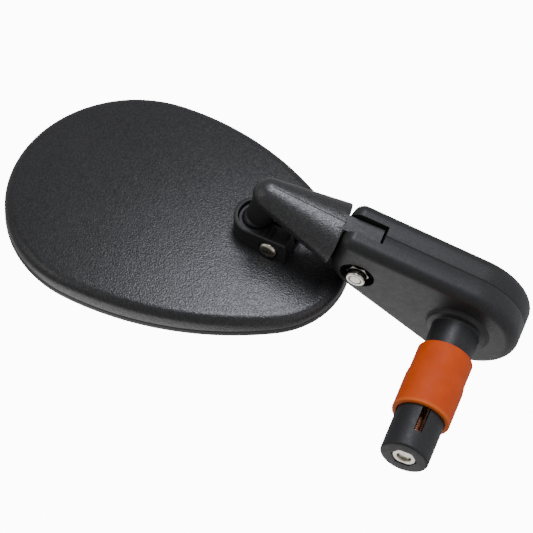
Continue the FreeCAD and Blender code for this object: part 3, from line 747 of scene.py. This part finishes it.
# ---- expanding plug ----
def build_sleeve():
    """Rubber sleeve: a plain neck that flares to the wider part that grips the bore."""
    x0, x1, step = 11.6, 36.9, 20.2
    neck_r, grip_r = 9.75, 10.2
    points = [(8.42, x0), (neck_r, x0), (neck_r, x0 + 8.6), (grip_r, x0 + 11.4), (grip_r, x1), (8.56, x1),
              (8.56, step), (8.42, step)]
    sleeve = turned(points, [0.2, 0.6, 1.5, 1.5, 0.6, 0.25, 0, 0], 128)
    to_object("orange_sleeve", sleeve, PLUG, SLEEVE, "base", "rubber_sleeve")


def build_plug():
    """Plug end, split into four fingers by two slots, with its nut let into the far face."""
    outer_r, bore_r = 8.5, 4.06
    points = [(7.12, PLUG_X0), (outer_r, PLUG_X0), (outer_r, PLUG_X1), (PLUG_HOLE_R, PLUG_X1),
              (PLUG_HOLE_R, PLUG_SLOT_END), (bore_r, PLUG_SLOT_END), (bore_r, PLUG_X0 + 10.2)]
    body = turned(points, [0.1, 0.2, 0.9, 0, 0, 0, 0], 128)
    plug = to_object("slotted_plug_end", body, PLUG, PLUG_BLACK, "plug", "plug_end")
    cutters = []
    for turn in (2, 92):
        slot = block((PLUG_X0 - 1, -12, -1.45), (PLUG_SLOT_END, 12, 1.45))
        cutters.append((slot, ROW @ Matrix.Rotation(math.radians(turn), 4, "X")))
    pocket = PLUG_X1 - NUT_POCKET
    cutters.append((prism(hexagon(8.1, 10), pocket, PLUG_X1 + 1), PLUG))
    carve(plug, cutters)
    soften(plug, 0.15)
    hex_nut("plug_nut", 8.0, pocket, PLUG_X1 - 0.3, 10, PLUG, "plug", "expander_nut", 2.56)


def build_bolt():
    """Long bolt with a socket cap head; its thread starts inside the post and ends in the plug's nut."""
    seat = ARM_BACK_X + CAP_RECESS - 1.0
    cap = turned([(AXIS, seat - 5.0), (4.25, seat - 5.0), (4.25, seat), (AXIS, seat)], [0, 0.5, 0.2, 0])
    head = to_object("plug_bolt_head", cap, PLUG, NICKEL, "bolt", "expander_bolt")
    carve(head, [(prism(hexagon(4.0), seat - 6, seat - 2.5), PLUG)])
    soften(head, 0.1, segments=2)
    plain = turned([(AXIS, seat - 0.3), (2.45, seat - 0.3), (2.45, 12.0), (AXIS, 12.0)], [0, 0, 0.2, 0])
    to_object("plug_bolt_shank", plain, PLUG, NICKEL, "bolt", None)
    tip = turned([(AXIS, 50.4), (2.42, 50.4), (2.42, 52.25), (AXIS, 52.25)], [0, 0, 0.4, 0])
    to_object("plug_bolt_tip", tip, PLUG, NICKEL, "bolt", None)
    thread = thread_rod(2.48, 0.8, 11.0, 51.4)
    # The thread's warm, pale tint is a painted reflection of the orange sleeve and painted light.
    to_object("plug_bolt_thread", thread, PLUG, THREAD_PAINTED_REFLECTION, "bolt", None)


build_shell()
build_clamp()
build_bezel()
build_glass()
build_clamp_screw()
build_stud()
build_link()
build_base()
build_pivot_hardware()
build_sleeve()
build_plug()
build_bolt()

# Pieces that keep their solid's shape and only take a finish.
STAYING = {
    "foam_pad": FOAM, "ball_cup": LINER, "hinge_washers": LINER, "clamp_washer": SCREW, "clamp_nut": SCREW,
    "pivot_nut_insert": INSERT, "bolt_washer": NICKEL,
}
for name, material in STAYING.items():
    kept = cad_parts[name]
    kept.data.materials.clear()
    kept.data.materials.append(material)


# ---- floor, light and camera ----
TO_CAMERA = Vector((0.5, 0.861, 0.0995)).normalized()
UP = Vector((-0.796, 0.411, 0.445)).normalized()
RIGHT = UP.cross(TO_CAMERA).normalized()
AIM = ROW @ Vector((5.3, -10.65, 66.1))
VIEW_WIDTH = 0.1777    # metres across the view at the object


def build_floor():
    """Square of paper well below the object, for the views that look down on it."""
    bm = bmesh.new()
    bmesh.ops.create_grid(bm, x_segments=1, y_segments=1, size=0.6)
    floor = to_object("studio_floor", bm, Matrix.Translation((0, 0, -0.2)), paper(), None)


def paper():
    """Bright matt paper."""
    mat, tree, shader, place = new_material("white_paper_floor")
    fibres = noise(tree, place, 400.0, 2.0)
    tree.links.new(two_tone(tree, fibres, "#F4F4F4", "#F8F8F8"), shader.inputs["Base Color"])
    shader.inputs["Roughness"].default_value = 0.9
    return mat


def area_light(name, direction, distance, size, power, tint):
    """Soft box that looks at AIM from a direction given as (right, up, towards the camera)."""
    light = bpy.data.lights.new(name, "AREA")
    light.shape = "RECTANGLE"
    light.size, light.size_y = size
    light.energy = power
    light.color = srgb(tint)[:3]
    obj = bpy.data.objects.new(name, light)
    bpy.context.scene.collection.objects.link(obj)
    towards = (RIGHT * direction[0] + UP * direction[1] + TO_CAMERA * direction[2]).normalized()
    obj.location = AIM + towards * distance
    obj.rotation_euler = towards.to_track_quat("Z", "Y").to_euler()


def build_studio(ambient, backdrop):
    """White surroundings: a soft ambient level for light, and a clean bright white behind the object."""
    world = bpy.data.worlds.new("studio")
    world.use_nodes = True
    tree = world.node_tree
    tree.nodes.clear()
    soft = node(tree, "ShaderNodeBackground", {"Color": srgb("#FFFFFF"), "Strength": ambient})
    clean = node(tree, "ShaderNodeBackground", {"Color": srgb("#FFFFFF"), "Strength": backdrop})
    seen = node(tree, "ShaderNodeLightPath").outputs["Is Camera Ray"]
    mix = node(tree, "ShaderNodeMixShader", Fac=seen)
    tree.links.new(soft.outputs[0], mix.inputs[1])
    tree.links.new(clean.outputs[0], mix.inputs[2])
    out = node(tree, "ShaderNodeOutputWorld")
    tree.links.new(mix.outputs[0], out.inputs["Surface"])
    bpy.context.scene.world = world


def build_camera():
    """Long lens far off, so that the object keeps nearly parallel edges."""
    distance, sensor = 3.0, 36.0
    data = bpy.data.cameras.new("camera")
    data.sensor_width = sensor
    data.lens = sensor * distance / VIEW_WIDTH
    data.clip_end = 100.0
    camera = bpy.data.objects.new("camera", data)
    bpy.context.scene.collection.objects.link(camera)
    facing = Matrix((RIGHT, UP, TO_CAMERA)).transposed().to_4x4()
    camera.matrix_world = Matrix.Translation(AIM + TO_CAMERA * distance) @ facing
    bpy.context.scene.camera = camera


build_floor()
area_light("overhead_softbox", (0.15, 0.74, 0.66), 0.8, (0.50, 0.30), 6.0, "#F2F4FF")
area_light("side_fill", (-0.9, 0.2, 0.5), 0.9, (0.6, 0.6), 1.0, "#FFFFFF")
area_light("low_panel", (-0.35, -0.80, -0.50), 0.8, (0.8, 0.8), 2.4, "#FFFFFF")
build_studio(0.45, 12.0)
build_camera()
